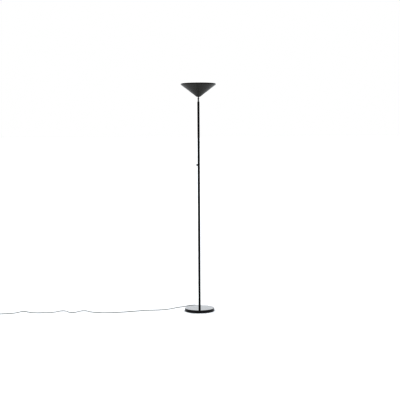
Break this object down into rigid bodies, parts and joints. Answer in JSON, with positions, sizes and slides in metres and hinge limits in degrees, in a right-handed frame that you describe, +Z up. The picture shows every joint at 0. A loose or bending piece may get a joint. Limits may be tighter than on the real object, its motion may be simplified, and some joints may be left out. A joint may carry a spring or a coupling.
{
  "type": "torchiere floor lamp",
  "caption": "Black torchiere floor lamp: round weighted base, slim pole with a rotary dimmer, chrome tilt knuckle, upward cone shade with a linear halogen lamp, and a pale mains cord.",
  "frame": {"origin": "centre of the round base, on the floor", "axes": "+Z up along the pole, -Y to the front, -X towards the dimmer knob and the way the cord runs"},
  "size_m": [1.8272, 0.356, 1.8],
  "materials": {
    "base_lacquer": "high-gloss black lacquer on pressed steel",
    "pole_lacquer": "semi-gloss black lacquer on steel tube",
    "shade_lacquer": "satin black lacquer on spun steel",
    "white_lacquer": "matt white heat-proof lacquer",
    "chrome": "chrome-plated brass",
    "zinc_steel": "bright zinc plating",
    "cast_iron": "raw sand-cast iron",
    "foot_pad": "dark foam pad",
    "knob_plastic": "satin black moulding",
    "white_plastic": "white nylon",
    "circuit_board": "green glass-fibre board",
    "component_black": "black moulded case",
    "component_yellow": "yellow film case",
    "copper_wire": "enamelled copper wire",
    "brass": "plain brass",
    "ceramic": "unglazed steatite",
    "quartz": "clear quartz glass",
    "shield_glass": "clear toughened glass",
    "tungsten": "coiled tungsten wire",
    "reflector_aluminium": "bright anodised sheet",
    "fibre": "pressed fibre",
    "wire_insulation": "white silicone rubber",
    "cord_pvc": "pale grey soft PVC"
  },
  "bodies": {
    "stand": {"floor_pad": "foot_pad", "base_plate": "zinc_steel", "base_plate_screws": "zinc_steel", "base_weight": "cast_iron", "base_shell": "base_lacquer", "pole_stud": "zinc_steel", "stud_washer": "zinc_steel", "stud_nut": "zinc_steel", "cord_clamp": "white_plastic", "cord_clamp_screws": "zinc_steel", "pole_foot_bush": "zinc_steel", "pole_lower": "pole_lacquer", "pole_nipple_low": "zinc_steel", "pole_middle": "pole_lacquer", "pole_nipple_high": "zinc_steel", "pole_upper": "pole_lacquer", "pole_cap_bush": "pole_lacquer", "supply_lead": "cord_pvc", "pole_lead": "wire_insulation", "dimmer_board": "circuit_board", "dimmer_triac": "component_black", "dimmer_choke": "copper_wire", "dimmer_capacitor": "component_yellow", "dimmer_potentiometer": "zinc_steel", "dimmer_nut": "zinc_steel", "knuckle_lower": "chrome", "friction_washer": "fibre", "tilt_screw": "zinc_steel", "spring_washer": "zinc_steel", "cord_gland": "cord_pvc", "cord_run": "cord_pvc", "cord_coil": "cord_pvc", "cord_tail": "cord_pvc", "cord_tie": "white_plastic", "plug_body": "cord_pvc", "plug_pins": "brass"},
    "knob": {"dimmer_spindle": "white_plastic", "dimmer_knob": "knob_plastic"},
    "head": {"knuckle_upper": "chrome", "shade": "shade_lacquer", "shade_washer": "zinc_steel", "bracket_spacer": "zinc_steel", "lamp_bracket": "white_lacquer", "head_nut": "zinc_steel", "reflector": "reflector_aluminium", "lamp_holder_front": "ceramic", "lamp_holder_rear": "ceramic", "holder_screws": "zinc_steel", "fixed_contact": "brass", "contact_spring": "zinc_steel", "lamp_tube": "quartz", "lamp_ends": "ceramic", "lamp_filament": "tungsten", "glass_shield": "shield_glass", "glass_clips": "zinc_steel", "head_leads": "wire_insulation"},
    "contact": {"sprung_contact": "brass"}
  },
  "joints": [
    {"name": "knob_turn", "type": "hinge", "parent": "stand", "child": "knob", "pos_m": [-0.012, 0, 1.162], "axis": [1, 0, 0], "range_deg": [0, 300]},
    {"name": "head_tilt", "type": "hinge", "parent": "stand", "child": "head", "pos_m": [0, 0, 1.683], "axis": [0, 1, 0], "range_deg": [-30, 30]},
    {"name": "contact_press", "type": "slide", "parent": "head", "child": "contact", "axis": [0, 1, 0], "range_m": [0, 0.002], "stiffness_N_per_m": 2000, "deforming": ["contact_spring"]}
  ]
}
